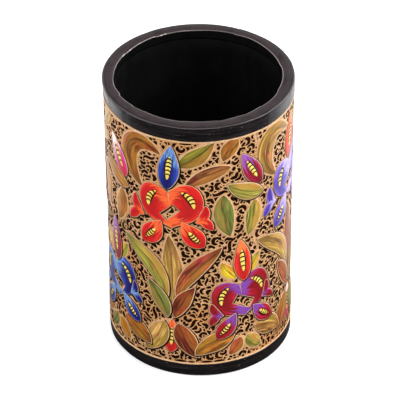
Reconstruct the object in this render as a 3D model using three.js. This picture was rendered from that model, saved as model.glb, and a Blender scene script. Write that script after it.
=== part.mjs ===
// Pen holder cup of lacquered papier-mache. A tube of pasted paper layers stands on a round
// base disc. A rim band caps the mouth, a foot band hides the joint with the base, a thin
// painted sleeve covers the wall between the two bands, and a black lining covers the well.
//
// Millimetres, +Z up. The origin is the centre of the underside, in the plane of the table,
// and the side with the main painted flowers faces -Y.

import * as THREE from 'three';

// Overall size.
const HEIGHT = 102;
const RIM_RADIUS = 32;
const MOUTH_RADIUS = 27.8;

// The outside narrows very slightly to a waist and flares again towards the rim.
const WAIST_RADIUS = 31.05;
const WAIST_HEIGHT = 27;
const FLARE = 0.8;

// Rim band: an inverted channel that caps the wall.
const RIM_BAND_HEIGHT = 5.3;
const RIM_BAND_THICKNESS = 0.9;
const RIM_CAP_THICKNESS = 1.1;
const RIM_LIP_DEPTH = 3.5;
const RIM_OUTER_EDGE_RADIUS = 0.6;
const RIM_MOUTH_EDGE_RADIUS = 0.4;
const RIM_TOP_CROWN = 0.15;

// Foot band: a ring around the base disc and the foot of the wall.
const FOOT_BAND_HEIGHT = 5.2;
const FOOT_BAND_THICKNESS = 1.2;
const FOOT_BAND_STEP = 0.08;
const FOOT_EDGE_RADIUS = 1.0;

// Base and coatings.
const BASE_THICKNESS = 3.6;
const SLEEVE_THICKNESS = 0.5;
const LINING_THICKNESS = 0.5;

// The glue line left between neighbouring pieces.
const GLUE_LINE = 0.1;

// Facets round the cup, and along a rounded edge or the waisted side.
const SEGMENTS = 72;
const EDGE_STEPS = 4;
const SIDE_STEPS = 6;

const RIM_BAND_BOTTOM = HEIGHT - RIM_BAND_HEIGHT;
const FOOT_RADIUS = bodyRadius(0) + FOOT_BAND_STEP;
const BASE_RADIUS = FOOT_RADIUS - FOOT_BAND_THICKNESS - GLUE_LINE;
const WALL_BORE_RADIUS = MOUTH_RADIUS + LINING_THICKNESS + GLUE_LINE;
const WALL_FOOT = BASE_THICKNESS + GLUE_LINE;

// Radius of the painted outside at height z.
function bodyRadius(z) {
  const share = (z - WAIST_HEIGHT) / (HEIGHT - WAIST_HEIGHT);
  return WAIST_RADIUS + FLARE * share * share;
}

// A point of a half section: r is the distance from the axis.
function point(r, z) {
  return new THREE.Vector2(r, z);
}

// Points of a circular arc in the half section, angles in degrees from the outward direction.
function arc(centreR, centreZ, radius, fromDegrees, toDegrees) {
  const points = [];
  for (let i = 0; i <= EDGE_STEPS; i += 1) {
    const degrees = fromDegrees + ((toDegrees - fromDegrees) * i) / EDGE_STEPS;
    const angle = THREE.MathUtils.degToRad(degrees);
    points.push(point(centreR + radius * Math.cos(angle), centreZ + radius * Math.sin(angle)));
  }
  return points;
}

// Points that follow the waisted outside from one height to another, at a depth below it.
function side(fromZ, toZ, depth) {
  const points = [];
  for (let i = 0; i <= SIDE_STEPS; i += 1) {
    const z = fromZ + ((toZ - fromZ) * i) / SIDE_STEPS;
    points.push(point(bodyRadius(z) - depth, z));
  }
  return points;
}

function finish(colour, roughness) {
  return new THREE.MeshStandardMaterial({ color: colour, roughness, metalness: 0 });
}

// Turns a half section about the axis. Sections run anticlockwise: outside up, inside down.
function turned(name, section, material) {
  const geometry = new THREE.LatheGeometry(section, SEGMENTS);
  geometry.rotateX(Math.PI / 2);
  const mesh = new THREE.Mesh(geometry, material);
  mesh.name = name;
  return mesh;
}

// A ring's section closes on its own first point.
function ring(name, section, material) {
  return turned(name, [...section, section[0].clone()], material);
}

// The round base, level with the foot band underneath.
function baseDisc() {
  const section = [
    point(0, 0),
    point(BASE_RADIUS, 0),
    point(BASE_RADIUS, BASE_THICKNESS),
    point(0, BASE_THICKNESS),
  ];
  return turned('base_disc', section, finish('#141213', 0.55));
}

// The structural tube, thinned at both ends where the bands are laid over it.
function wallTube() {
  const sleeveDepth = SLEEVE_THICKNESS + GLUE_LINE;
  const footShoulder = FOOT_BAND_HEIGHT + GLUE_LINE;
  const rimShoulder = RIM_BAND_BOTTOM - GLUE_LINE;
  const neckRadius = RIM_RADIUS - RIM_BAND_THICKNESS - GLUE_LINE;
  const wallTop = HEIGHT - RIM_CAP_THICKNESS - GLUE_LINE;
  const section = [
    point(WALL_BORE_RADIUS, WALL_FOOT),
    point(BASE_RADIUS, WALL_FOOT),
    point(BASE_RADIUS, footShoulder),
    ...side(footShoulder, rimShoulder, sleeveDepth),
    point(neckRadius, rimShoulder),
    point(neckRadius, wallTop),
    point(WALL_BORE_RADIUS, wallTop),
  ];
  return ring('wall_tube', section, finish('#8f8170', 0.9));
}

// The black lip: outer leg, softly crowned top and a short inner leg down into the well.
function rimBand() {
  const legInside = RIM_RADIUS - RIM_BAND_THICKNESS;
  const lipInside = MOUTH_RADIUS + LINING_THICKNESS;
  const lipFoot = HEIGHT - RIM_LIP_DEPTH;
  const capUnderside = HEIGHT - RIM_CAP_THICKNESS;
  const edgeTop = HEIGHT - RIM_TOP_CROWN;
  const outerRound = RIM_OUTER_EDGE_RADIUS;
  const mouthRound = RIM_MOUTH_EDGE_RADIUS;
  const section = [
    point(legInside, RIM_BAND_BOTTOM),
    point(RIM_RADIUS, RIM_BAND_BOTTOM),
    ...arc(RIM_RADIUS - outerRound, edgeTop - outerRound, outerRound, 0, 90),
    point((RIM_RADIUS + MOUTH_RADIUS) / 2, HEIGHT),
    ...arc(MOUTH_RADIUS + mouthRound, edgeTop - mouthRound, mouthRound, 90, 180),
    point(MOUTH_RADIUS, lipFoot),
    point(lipInside, lipFoot),
    point(lipInside, capUnderside),
    point(legInside, capUnderside),
  ];
  return ring('rim_band', section, finish('#1d1a1c', 0.3));
}

// The black band the cup stands on, with a rounded lower edge.
function footBand() {
  const inside = FOOT_RADIUS - FOOT_BAND_THICKNESS;
  const section = [
    point(inside, 0),
    ...arc(FOOT_RADIUS - FOOT_EDGE_RADIUS, FOOT_EDGE_RADIUS, FOOT_EDGE_RADIUS, -90, 0),
    point(FOOT_RADIUS, FOOT_BAND_HEIGHT),
    point(inside, FOOT_BAND_HEIGHT),
  ];
  return ring('foot_band', section, finish('#121011', 0.35));
}

// The gesso and paint layer that carries the decoration between the bands.
function paintedSleeve() {
  const bottom = FOOT_BAND_HEIGHT + GLUE_LINE;
  const top = RIM_BAND_BOTTOM - GLUE_LINE;
  const section = [
    ...side(bottom, top, 0),
    ...side(top, bottom, SLEEVE_THICKNESS),
  ];
  return ring('painted_sleeve', section, finish('#c9a26c', 0.35));
}

// The black layer on the wall of the well, ending below the rim's inner leg.
function wellLining() {
  const outside = MOUTH_RADIUS + LINING_THICKNESS;
  const bottom = BASE_THICKNESS + GLUE_LINE;
  const top = HEIGHT - RIM_LIP_DEPTH - GLUE_LINE;
  const section = [
    point(MOUTH_RADIUS, bottom),
    point(outside, bottom),
    point(outside, top),
    point(MOUTH_RADIUS, top),
  ];
  return ring('well_lining', section, finish('#0b0b0b', 0.6));
}

// The black disc on the floor of the well, inside the wall's lining.
function floorLining() {
  const radius = MOUTH_RADIUS - GLUE_LINE;
  const bottom = BASE_THICKNESS + GLUE_LINE;
  const top = bottom + LINING_THICKNESS;
  const section = [
    point(0, bottom),
    point(radius, bottom),
    point(radius, top),
    point(0, top),
  ];
  return turned('floor_lining', section, finish('#0b0b0b', 0.6));
}

const penCup = new THREE.Group();
penCup.add(
  baseDisc(),
  wallTube(),
  rimBand(),
  footBand(),
  paintedSleeve(),
  wellLining(),
  floorLining(),
);

export default penCup;
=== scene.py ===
"""Looks of the pen holder cup: a lacquered papier-mache cup, black at rim, foot and inside, with
a wall of gold scrollwork, painted leaves and iris-like flowers.

The decoration is designed on the unrolled wall: s is the arc in mm to the right of the front
(-Y), z the height in mm. It is a plain repeat of two rows of sprays. Every leaf, petal and spot
is a thin raised stroke of paint, and the gold ground is six relief sheets whose gaps go down to
a dark brown.
"""
import math
import random

import bmesh
import bpy
import numpy as np
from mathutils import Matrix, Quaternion, Vector
from mathutils.geometry import delaunay_2d_cdt


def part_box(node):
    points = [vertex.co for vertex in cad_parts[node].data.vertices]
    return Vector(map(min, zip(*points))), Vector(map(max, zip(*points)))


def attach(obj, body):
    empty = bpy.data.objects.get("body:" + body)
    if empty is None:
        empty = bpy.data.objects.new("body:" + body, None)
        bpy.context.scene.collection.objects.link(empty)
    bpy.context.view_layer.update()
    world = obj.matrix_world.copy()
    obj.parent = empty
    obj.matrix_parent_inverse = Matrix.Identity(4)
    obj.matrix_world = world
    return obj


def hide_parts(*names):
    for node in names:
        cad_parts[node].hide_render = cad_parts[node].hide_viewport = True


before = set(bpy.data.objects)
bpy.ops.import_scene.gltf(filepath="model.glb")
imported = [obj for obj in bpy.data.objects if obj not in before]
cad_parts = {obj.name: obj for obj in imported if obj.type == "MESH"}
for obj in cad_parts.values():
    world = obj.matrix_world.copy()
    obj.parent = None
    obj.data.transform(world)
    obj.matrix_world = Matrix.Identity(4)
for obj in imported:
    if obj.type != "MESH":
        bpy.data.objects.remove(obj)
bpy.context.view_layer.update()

MM = 0.001
BODY = "root"

# ---------------------------------------------------------------- sizes, read from the frame


def box_mm(node):
    low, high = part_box(node)
    return low / MM, high / MM


def wall_profile():
    """Heights and radii of the CAD sleeve's outside, in mm."""
    rings = {}
    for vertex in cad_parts["painted_sleeve"].data.vertices:
        height = round(vertex.co.z / MM, 2)
        radius = math.hypot(vertex.co.x, vertex.co.y) / MM
        rings[height] = max(rings.get(height, 0.0), radius)
    heights = sorted(rings)
    return np.array(heights), np.array([rings[h] for h in heights])


RIM_LOW, RIM_HIGH = box_mm("rim_band")
FOOT_LOW, FOOT_HIGH = box_mm("foot_band")
SLEEVE_LOW, SLEEVE_HIGH = box_mm("painted_sleeve")
LINING_LOW, LINING_HIGH = box_mm("well_lining")
PROFILE_Z, PROFILE_R = wall_profile()

WALL_BOTTOM = SLEEVE_LOW.z
WALL_TOP = SLEEVE_HIGH.z
ARC_RADIUS = 31.5
TURN = 2 * math.pi * ARC_RADIUS

# Heights over the CAD wall, in mm: the floor of the gaps, the gold, and the backs of the strokes
# and of the gold sheets. A painted shape is a black shade, a light outline over it and a coloured
# face, each a little above the last.
BLACK_LIFT = -0.05
GOLD_LIFT = 0.05
ROOT_LIFT = -0.15
BACK_LIFT = -0.45
SHADE_RISE = 0.012
OUTLINE_RISE = 0.025
FACE_RISE = 0.042
SPOT_RISE = 0.012
JOINED_RISE = 0.008

# How far the outline and the shade reach past a shape, and how the shade is shifted, in mm.
OUTLINE = 0.3
FLOWER_OUTLINE = 0.19
SHADE_REACH = 0.34
SHADE_SHIFT = (0.18, -0.22)

# Gold kept free at both ends of the wall, and where the rows of gaps run beside the borders and
# beside the painted shapes.
BORDER = 0.5
BORDER_GAPS = 0.42
SHAPE_GAPS = 0.34

# ---------------------------------------------------------------- curves and strokes


def unit(rows):
    """Rows of vectors, each scaled to a length of one."""
    length = np.linalg.norm(rows, axis=-1, keepdims=True)
    return rows / np.maximum(length, 1e-9)


def left_of(rows):
    """Rows of vectors, each turned a quarter turn to the left."""
    return np.stack([-rows[..., 1], rows[..., 0]], axis=-1)


def bezier(points, shares):
    """A Bezier curve with any number of control points, at the given shares of its run."""
    t = np.asarray(shares, float)[:, None]
    rows = [np.broadcast_to(np.array(p, float), (len(t), 2)) for p in points]
    while len(rows) > 1:
        rows = [a * (1 - t) + b * t for a, b in zip(rows, rows[1:])]
    return rows[0]


def straight_runs(points, shares):
    """A path of straight runs through points, at the given shares of its length."""
    points = np.array(points, float)
    steps = np.linalg.norm(np.diff(points, axis=0), axis=1)
    run = np.concatenate([[0], np.cumsum(steps)]) / steps.sum()
    return np.stack([np.interp(shares, run, points[:, k]) for k in (0, 1)], axis=1)


def eased(count):
    """Shares from 0 to 1 that lie closer together at both ends."""
    return (1 - np.cos(np.linspace(0, math.pi, count))) / 2


class Stroke:
    """A patch of paint between two edges, each a row of (s, z) points from start to end."""

    def __init__(self, left, right, paint, crown, outlined):
        self.left = left
        self.right = right
        self.paint = paint
        self.crown = crown
        self.outlined = outlined
        self.seed = rng.random()
        self.joined = False
        self.two_ended = False
        self.base = 0.0
        self.piece = "leaves"

    def rise(self):
        return FACE_RISE if self.outlined else SPOT_RISE

    def middle(self):
        return (self.left + self.right) / 2

    def grown(self, margin, shift=(0.0, 0.0)):
        """The edges moved outwards by a margin, with a blunt cap at both ends."""
        middle = self.middle()
        along = unit(np.gradient(middle, axis=0))
        spread = self.left - self.right
        size = np.linalg.norm(spread, axis=1, keepdims=True)
        across = np.where(size > 0.3, unit(spread), left_of(along))
        left = self.left + across * margin
        right = self.right - across * margin
        cap = across[[0, -1]] * (size[[0, -1]] / 2 + margin * 0.45)
        ends = middle[[0, -1]] + along[[0, -1]] * np.array([[-margin], [margin]])
        left = np.vstack([ends[:1] + cap[:1], left, ends[1:] + cap[1:]])
        right = np.vstack([ends[:1] - cap[:1], right, ends[1:] - cap[1:]])
        return left + np.array(shift), right + np.array(shift)


def resample(rows, count):
    """The same path with another number of points."""
    old = np.linspace(0, 1, len(rows))
    new = np.linspace(0, 1, count)
    return np.stack([np.interp(new, old, rows[:, k]) for k in (0, 1)], axis=1)


def spots_between(left, right, spacing):
    """Points that fill the space between two edges."""
    middle = (left + right) / 2
    length = np.linalg.norm(np.diff(middle, axis=0), axis=1).sum()
    width = np.linalg.norm(left - right, axis=1).max()
    rows = max(4, int(length * 1.6 / spacing))
    cols = max(3, int(width * 1.2 / spacing))
    left = resample(left, rows)[:, None]
    right = resample(right, rows)[:, None]
    share = np.linspace(0, 1, cols)[None, :, None]
    return (left * (1 - share) + right * share).reshape(-1, 2)


PAINTED = -1


class Canvas:
    """A fine grid over the unrolled wall: how high the paint is on each spot, and whether paint
    or a numbered gap holds the spot."""

    def __init__(self, cell=0.1):
        self.cell = cell
        self.cols = int(round(TURN / cell))
        self.rows = int(round((WALL_TOP - WALL_BOTTOM) / cell))
        self.height = np.full((self.rows, self.cols), GOLD_LIFT)
        self.owner = np.zeros((self.rows, self.cols), int)

    def find(self, points):
        cols = np.floor(points[..., 0] / self.cell).astype(int) % self.cols
        rows = np.floor((points[..., 1] - WALL_BOTTOM) / self.cell).astype(int)
        return np.clip(rows, 0, self.rows - 1), cols

    def lay(self, strokes):
        """Puts joined strokes on top of whatever they cover, and marks their place."""
        margin = OUTLINE if strokes[0].outlined else 0.0
        points = [spots_between(*stroke.grown(margin), self.cell * 0.8) for stroke in strokes]
        points = np.vstack(points)
        inside = (points[:, 1] > WALL_BOTTOM) & (points[:, 1] < WALL_TOP)
        place = self.find(points[inside])
        if not len(place[0]):
            return
        base = float(self.height[place].max())
        top = base + strokes[0].rise() + strokes[0].crown + JOINED_RISE * (len(strokes) - 1)
        self.height[place] = top
        self.owner[place] = PAINTED
        for order, stroke in enumerate(strokes):
            stroke.base = base + JOINED_RISE * order

    def blocked(self, points, own=0):
        """Which points are off the wall, or on a spot that paint or another gap holds."""
        heights = points[..., 1]
        outside = (heights < WALL_BOTTOM + BORDER) | (heights > WALL_TOP - BORDER)
        owners = self.owner[self.find(points)]
        return outside | ((owners != 0) & (owners != own))

    def take(self, points, owner):
        self.owner[self.find(points)] = owner

    def free_places(self):
        rows, cols = np.nonzero(self.owner == 0)
        return np.stack([(cols + 0.5) * self.cell, WALL_BOTTOM + (rows + 0.5) * self.cell], axis=1)


# ---------------------------------------------------------------- leaves, petals and spots

ROWS = 26
SPOT_ROWS = 10
rng = random.Random(7)


def hand(count, size):
    """A smooth hand-made waver along an edge, in mm, that is zero at both ends."""
    t = np.linspace(0, 1, count)
    total = np.zeros(count)
    for wave in (1, 2, 3):
        total += rng.uniform(-1, 1) * np.sin(2 * math.pi * wave * t + rng.uniform(0, 6.28)) / wave
    return total * size * np.sin(math.pi * t)


def blade(spine, width, paint, peak=0.45, full=0.75, crown=0.02, outlined=True, waver=0.14):
    """A leaf-shaped stroke along a curved spine. Peak is where it is widest, and a smaller
    full makes its ends rounder."""
    rows = ROWS if outlined else SPOT_ROWS
    shares = eased(rows)
    middle = bezier(spine, shares)
    normal = left_of(unit(np.gradient(middle, axis=0)))
    power = math.log(0.5) / math.log(peak)
    half = width / 2 * np.sin(math.pi * shares ** power) ** full
    half[[0, -1]] = 0.02
    left = middle + normal * (half + hand(rows, waver))[:, None]
    right = middle - normal * (half + hand(rows, waver))[:, None]
    return Stroke(left, right, paint, crown, outlined)


def bent(start, end, bend=0.0):
    """Spine from start to end whose middle is pushed to the left by bend mm."""
    a, b = np.array(start, float), np.array(end, float)
    side = left_of(unit(b - a)) * bend * 1.33
    return [a, a * 0.67 + b * 0.33 + side, a * 0.33 + b * 0.67 + side, b]


def leaf(paint, start, end, width, bend=0.0, peak=0.45, full=0.75):
    return [blade(bent(start, end, bend), width, paint, peak, full)]


def joined(*strokes):
    """Strokes of one wet patch: they share a level, with no outline between them."""
    for stroke in strokes[1:]:
        stroke.joined = True
    return list(strokes)


def eye_spots(path, width, count):
    """A tapering strip of yellow along a path, on a black shadow, cut by black crescents."""
    shade = blade(path, width * 1.32, "ink", 0.5, 0.55, 0.0, False, 0.04)
    strip = blade(path, width, "yolk", 0.5, 0.5, 0.012, False, 0.08)
    aside = left_of(unit(np.gradient(shade.middle(), axis=0))) * width * rng.choice((-0.14, 0.14))
    shade.left, shade.right = shade.left + aside, shade.right + aside
    bars = []
    shares = np.linspace(0, 1, count + 2)[1:-1]
    centres = bezier(path, shares)
    along = unit(np.gradient(bezier(path, np.linspace(0, 1, 40)), axis=0))
    for share, centre in zip(shares, centres):
        forward = along[int(share * 39)]
        side = left_of(forward)
        reach = width * 0.74 * (math.sin(math.pi * share) ** 0.5)
        arc = [centre - side * reach, centre + forward * width * 0.75, centre + side * reach]
        bars.append(blade(arc, width * 0.34, "ink", 0.5, 0.7, 0.008, False, 0.03))
    return [shade, strip] + joined(*bars)


def bud(paint, start, end, width, spots=4):
    """A closed flower: one petal that is lightest at its tip, with a row of spots on it."""
    start, end = np.array(start, float), np.array(end, float)
    run = end - start
    path = [start + run * share for share in (0.22, 0.5, 0.76)]
    petal = blade(bent(end, start), width, paint, 0.58, 0.62)
    strokes = [petal] + eye_spots(path, width * 0.26, spots)
    for stroke in strokes:
        stroke.piece = "buds"
    return strokes


def between(outer, inner, paint):
    """A petal between a curved outer edge and an inner edge of straight runs."""
    shares = eased(ROWS)
    left = bezier(outer, shares)
    right = straight_runs(inner, shares)
    normal = left_of(unit(np.gradient(left, axis=0)))
    left = left + normal * hand(ROWS, 0.22)[:, None]
    petal = Stroke(left, right, paint, 0.03, True)
    petal.two_ended = True
    return petal


def placed(strokes, centre, turn, scale):
    """Strokes drawn round (0, 0), turned by degrees, scaled and moved to their centre."""
    angle = math.radians(turn)
    spin = np.array([[math.cos(angle), math.sin(angle)], [-math.sin(angle), math.cos(angle)]])
    for stroke in strokes:
        stroke.left = stroke.left @ spin * scale + np.array(centre)
        stroke.right = stroke.right @ spin * scale + np.array(centre)
    return strokes


def mirrored(points, flip):
    """Points with their s multiplied by flip, which is 1 or -1."""
    return [(x * flip, y) for x, y in points]


# Inner edge of each half of a flower's ring, from its foot to its top. The two edges enclose
# a small slanted window, which is scaled about the height of its heart.
WINDOW_HEART = -2.6
WINDOW_EDGES = {
    -1: [(0.0, -4.6), (-3.5, -1.7), (-1.3, 1.0), (0.0, 0.0)],
    1: [(0.0, -4.6), (1.8, -6.0), (4.0, -3.2), (0.0, 0.0)],
}


def iris(name, paint, turn, scale, lobes, hang, petal, folds, window):
    """An iris-like flower round (0, 0): two lobes in a ring round a slanted window, two petals
    that hang from the ring, and a folded petal on each side. Of each pair, the left one comes
    first: the size of the lobes, the angle that turns the hanging petals outwards, and the turn
    and size of the folded petals. Petal is the width of the hanging ones, and window the size
    of the window."""
    ring = []
    eyes = []
    for side, size in zip((-1, 1), lobes):
        outer = [(0, -9.0), (3.0, -5.6), (11.5 * size, -9.0), (14.5 * size, -2.0),
                 (14.5 * size, 10.5 * size), (7.0, 12.5 * size), (0.2, 5.6)]
        inner = [(x * window, WINDOW_HEART + (y - WINDOW_HEART) * window)
                 for x, y in WINDOW_EDGES[side]]
        lobe = between(mirrored(outer, side), inner, paint)
        if side > 0:
            lobe.left, lobe.right = lobe.right, lobe.left
        ring.append(lobe)
        path = [(8.3 * size, -0.8), (8.8 * size, 3.6 * size), (4.6 * size, 6.0 * size)]
        eyes += eye_spots(mirrored(path, side), 1.9, 4)
    strokes = joined(*ring) + eyes
    for side, outwards, (spin, size) in zip((-1, 1), hang, folds):
        spine = mirrored([(-0.2, 0.6), (-1.4, -5.0), (0.0, -11.8)], side)
        path = mirrored([(-0.7, -3.8), (-0.9, -6.6), (-0.2, -9.6)], side)
        drop = [blade(spine, petal, paint, 0.6, 0.64, 0.03)] + eye_spots(path, 1.7, 4)
        strokes += placed(drop, (4.4 * side, -6.6), (36.0 + outwards) * side, 1.0)
        fold = blade(mirrored([(10.8, -5.6), (15.0, -3.8), (13.8, 2.4)], side), 3.8, paint, 0.5, 0.6)
        wing = blade(mirrored([(10.8, -5.2), (14.6, -4.0), (17.4, -8.8)], side), 3.8, paint, 0.6, 0.6)
        strokes += placed(joined(fold, wing), (0, 0), spin * side, size)
    for stroke in strokes:
        stroke.piece = name
    return placed(strokes, (0, 0), turn, scale)


# ---------------------------------------------------------------- the composition

# The wall carries a repeat of two rows of sprays. The lower row is shifted by half a step.
COLUMNS = 4
COLUMN_STEP = TURN / COLUMNS
UPPER_START = -10.0
UPPER_HEIGHT = 70.0
LOWER_HEIGHT = 31.5

# Leaf paints in the order in which the leaves of a spray take them. Each next spray starts
# three paints further on.
LEAF_PAINTS = ("umber", "olive", "ochre", "mustard", "moss", "tan", "sage", "brick", "rust", "wheat")
PAINT_STEP = 3

# Paints of the flower, then of the bud above it, and in the upper row also of the bud beside it
# and of the bud at the foot.
UPPER_PAINTS = (("red", "blue", "magenta", "scarlet"), ("violet", "scarlet", "plum", "magenta"),
                ("azure", "magenta", "scarlet", "plum"), ("salmon", "plum", "blue", "scarlet"))
LOWER_PAINTS = (("blue", "plum"), ("crimson", "scarlet"), ("scarlet", "azure"),
                ("violet", "magenta"))


def leaf_tones(index):
    """The leaf paints in the order in which one spray uses them."""
    start = PAINT_STEP * index % len(LEAF_PAINTS)
    return LEAF_PAINTS[start:] + LEAF_PAINTS[:start]


def set_out(strokes, centre, flip):
    """Moves strokes drawn round (0, 0) to their centre, mirrored where flip is -1."""
    for stroke in strokes:
        if flip < 0:
            stroke.left, stroke.right = stroke.right, stroke.left
        stroke.left = stroke.left * (flip, 1) + np.array(centre)
        stroke.right = stroke.right * (flip, 1) + np.array(centre)
    return strokes


def upper_spray(index):
    """A flower below the rim, two buds and the leaves round it, and its leaves at the foot."""
    flower, top_bud, side_bud, foot_bud = UPPER_PAINTS[index]
    tones = leaf_tones(index)
    art = leaf(tones[0], (-20.5, 15.5), (-5.0, 8.0), 5.2, 1.3)
    art += leaf(tones[1], (-15.0, 26.0), (-2.5, 16.5), 6.2, -0.8, 0.55)
    art += [blade([(3.0, 20.0), (14.0, 29.0), (21.0, 15.0), (10.0, 5.0)], 7.6, tones[2], 0.5, 0.7)]
    art += bud(side_bud, (17.5, 5.5), (25.0, 19.5), 6.4)
    art += leaf(tones[3], (16.5, 2.0), (30.0, 8.5), 6.0, -0.9)
    art += leaf(tones[9], (26.6, 26.4), (31.6, 18.4), 5.4, 0.4)
    art += leaf(tones[4], (-18.0, 4.5), (-20.5, -12.5), 6.8, 0.9)
    art += leaf(tones[3], (20.0, -0.5), (22.5, -14.0), 6.0, -0.9)
    art += leaf(tones[5], (-0.6, -44.0), (0.6, -12.0), 7.4, 0.6, 0.5)
    art += [blade([(1.5, -38.0), (3.0, -25.0), (11.0, -22.0), (18.5, -17.5)], 6.4, tones[6], 0.5, 0.7)]
    art += [blade([(-2.0, -37.0), (-5.0, -26.0), (-12.0, -22.0), (-17.5, -16.5)], 5.8, tones[7])]
    art += leaf(tones[8], (-1.2, -45.5), (-8.2, -32.5), 5.2, -0.8)
    art += leaf(tones[4], (1.2, -45.5), (8.4, -32.0), 5.4, 0.8)
    art += bud(foot_bud, (0.4, -60.5), (-0.4, -46.5), 6.2)
    art += leaf(tones[8], (-2.4, -48.0), (-9.5, -61.6), 7.0, 0.8)
    art += leaf(tones[9], (2.6, -48.0), (10.0, -61.4), 7.4, -0.8)
    art += iris(f"iris_{2 * index + 1}", flower, -5.0, 0.98, (1.0, 0.95), (-6.0, 4.0), 7.4,
                ((-10.0, 0.88), (0.0, 0.96)), 1.0)
    art += bud(top_bud, (1.2, 6.8), (-0.8, 24.2), 7.2, 5)
    return set_out(art, (UPPER_START + COLUMN_STEP * index, UPPER_HEIGHT), -1)


def lower_spray(index):
    """A flower near the foot with one bud above it and leaves spread along the foot band."""
    flower, top_bud = LOWER_PAINTS[index]
    tones = leaf_tones(index)
    art = leaf("yellow", (-2.4, 8.5), (-7.4, 15.6), 4.2, 0.5)
    art += leaf("lime", (2.8, 8.5), (6.8, 16.0), 3.8, 0.5)
    art += leaf(tones[0], (-3.0, -15.0), (-16.5, -22.0), 7.2, -1.2)
    art += leaf(tones[2], (5.0, -14.5), (17.0, -20.5), 7.4, 1.2)
    art += leaf(tones[3], (2.0, -17.0), (7.5, -23.0), 5.0, -0.5)
    art += leaf(tones[4], (-0.6, -17.0), (-4.8, -23.2), 4.8, 0.5)
    art += iris(f"iris_{2 * index + 2}", flower, 9.0, 0.92, (1.0, 1.04), (8.0, 0.0), 6.6,
                ((-6.0, 0.84), (-4.0, 0.8)), 1.22)
    art += bud(top_bud, (0.8, 6.6), (-0.6, 23.5), 6.4)
    centre = (UPPER_START + COLUMN_STEP * (index - 0.5), LOWER_HEIGHT)
    return set_out(art, centre, 1)


# ---------------------------------------------------------------- gold ground and its gaps


# Each of these gives a gap's spine, for a shape of about size mm, and its half width along it.


def comma(size):
    t = np.linspace(0, 1, 6)
    bend = rng.uniform(-0.5, 0.5)
    spine = bezier([(-0.55, 0), (0, bend), (0.55, bend * 0.4)], t) * size
    return spine, 0.24 * size * (0.2 + 0.8 * np.sin(math.pi * t ** 0.6))


def crescent(size):
    t = np.linspace(0, 1, 8)
    sweep = math.radians(rng.uniform(150, 285))
    angle = sweep * (t - 0.5)
    radius = rng.uniform(0.5, 0.62) * (1 - rng.uniform(0.0, 0.35) * t)
    spine = np.stack([radius * np.cos(angle), radius * np.sin(angle)], axis=1) * size
    return spine, 0.16 * size * (0.3 + 0.7 * np.sin(math.pi * t ** 0.8))


def hook(size):
    t = np.linspace(0, 1, 8)
    bend = rng.choice((-1, 1)) * rng.uniform(0.6, 1.1)
    spine = bezier([(-0.9, -0.1), (-0.3, bend), (0.3, -bend), (0.9, 0.1)], t) * size
    return spine, 0.15 * size * (0.3 + 0.7 * np.sin(math.pi * t))


def wedge(size):
    t = np.linspace(0, 1, 5)
    spine = bezier([(-0.4, 0), (0, rng.uniform(-0.3, 0.3)), (0.55, 0)], t) * size
    return spine, 0.42 * size * (1 - t) ** 1.4 + 0.04


def tick(size):
    t = np.linspace(0, 1, 7)
    turn = rng.choice((-1, 1)) * rng.uniform(0.5, 0.9)
    spine = straight_runs([(-0.55, 0), (0.15, 0), (0.35, turn)], t) * size
    return spine, 0.2 * size * (0.2 + 0.8 * np.sin(math.pi * t) ** 2)


def dot(size):
    t = np.linspace(0, 1, 4)
    spine = np.stack([0.36 * (t - 0.5), np.zeros(4)], axis=1) * size
    return spine, 0.17 * size * np.array([0.6, 1.0, 1.0, 0.6])


# Each pass of gaps: the shapes it draws from, their sizes, how many are tried, and the gold
# kept between them.
GAP_PASSES = (
    ((crescent, hook, tick, crescent), (1.9, 3.0), 26000, 0.22),
    ((wedge, tick, comma, crescent), (1.3, 2.0), 30000, 0.22),
    ((wedge, comma, tick), (0.85, 1.3), 36000, 0.2),
    ((wedge, dot), (0.5, 0.8), 20000, 0.2),
)

# Gold kept round a gap beside a shape, and beside a gap that grows. Each gap grows in steps, to
# between 1.3 and 2.6 times its half width at most, and never past the largest half width.
CONTOUR_KEEP = 0.08
GROW_KEEP = 0.2
GROW_STEP = 0.04
GROW_SHARE = (1.3, 2.6)
MAX_HALF = 0.66

# The gold is laid in sheets with wavy seams between them. No gap crosses a seam.
SECTORS = 6
SECTOR_ARC = TURN / SECTORS
FIRST_SEAM = -SECTOR_ARC / 2 + 4.0
SEAM_SWING = 1.1
SEAM_WAVES = 0.31
SEAM_KEEP = 0.05
AROUND_POINTS = 1500


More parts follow.
